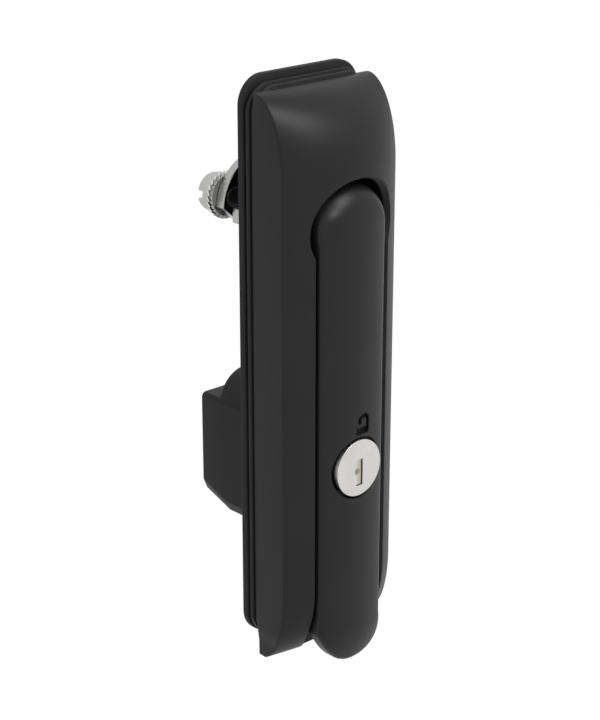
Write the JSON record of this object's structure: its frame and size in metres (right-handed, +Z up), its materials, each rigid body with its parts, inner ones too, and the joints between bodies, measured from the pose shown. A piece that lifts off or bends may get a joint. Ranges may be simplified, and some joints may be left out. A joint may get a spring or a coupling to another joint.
{
  "type": "swing handle latch",
  "caption": "Flush swing handle latch: a keyed grip lifts out of its dished housing and turns a spindle behind the door, whose disc drives the lock rods.",
  "frame": {"origin": "spindle axis at the door's outer face, inside the hub that passes through the door", "axes": "+Y from the door's outer face into the cabinet, along the spindle; -Y faces the user; +Z up along the housing, from the lock to the spindle; +X to the right"},
  "size_m": [0.0456, 0.059, 0.183],
  "materials": {
    "black_plastic": "fine spark texture",
    "black_grip": "fine spark texture",
    "seal_rubber": "matt",
    "zinc": "bright zinc plated",
    "die_cast": "cast zinc",
    "bronze": "sintered",
    "brass": "plain",
    "white_nylon": "plain",
    "nickel": "satin nickel",
    "burnished": "black oxide"
  },
  "bodies": {
    "housing_body": {"housing": "black_plastic", "seal": "seal_rubber", "threaded_inserts": "brass", "spindle_bush": "bronze", "thrust_washer": "white_nylon", "stop_ring": "die_cast", "lock_case": "black_plastic", "case_screws": "zinc", "keeper_plate": "zinc", "handle_buffer": "seal_rubber"},
    "spindle_body": {"spindle": "die_cast", "spindle_o_ring": "seal_rubber", "drive_disc": "zinc", "disc_screw": "zinc", "rod_screws": "zinc", "serrated_washers": "zinc", "pivot_pin": "zinc"},
    "handle_body": {"handle": "black_grip", "lock_barrel": "die_cast", "barrel_screw": "burnished", "barrel_o_ring": "seal_rubber"},
    "plug_body": {"lock_plug": "nickel", "lock_wafers": "brass", "lock_tongue": "zinc", "tongue_washer": "zinc", "tongue_screw": "zinc"}
  },
  "joints": [
    {"name": "spindle_turn", "type": "hinge", "parent": "housing_body", "child": "spindle_body", "pos_m": [0, 0, 0], "axis": [0, 1, 0], "range_deg": [-0.3, 0.3]},
    {"name": "handle_lift", "type": "hinge", "parent": "spindle_body", "child": "handle_body", "pos_m": [0, -0.017, 0], "axis": [-1, 0, 0], "range_deg": [0, 38]},
    {"name": "lock_turn", "type": "hinge", "parent": "handle_body", "child": "plug_body", "pos_m": [0, 0, -0.0734], "axis": [0, 1, 0], "range_deg": [0, 90]}
  ]
}
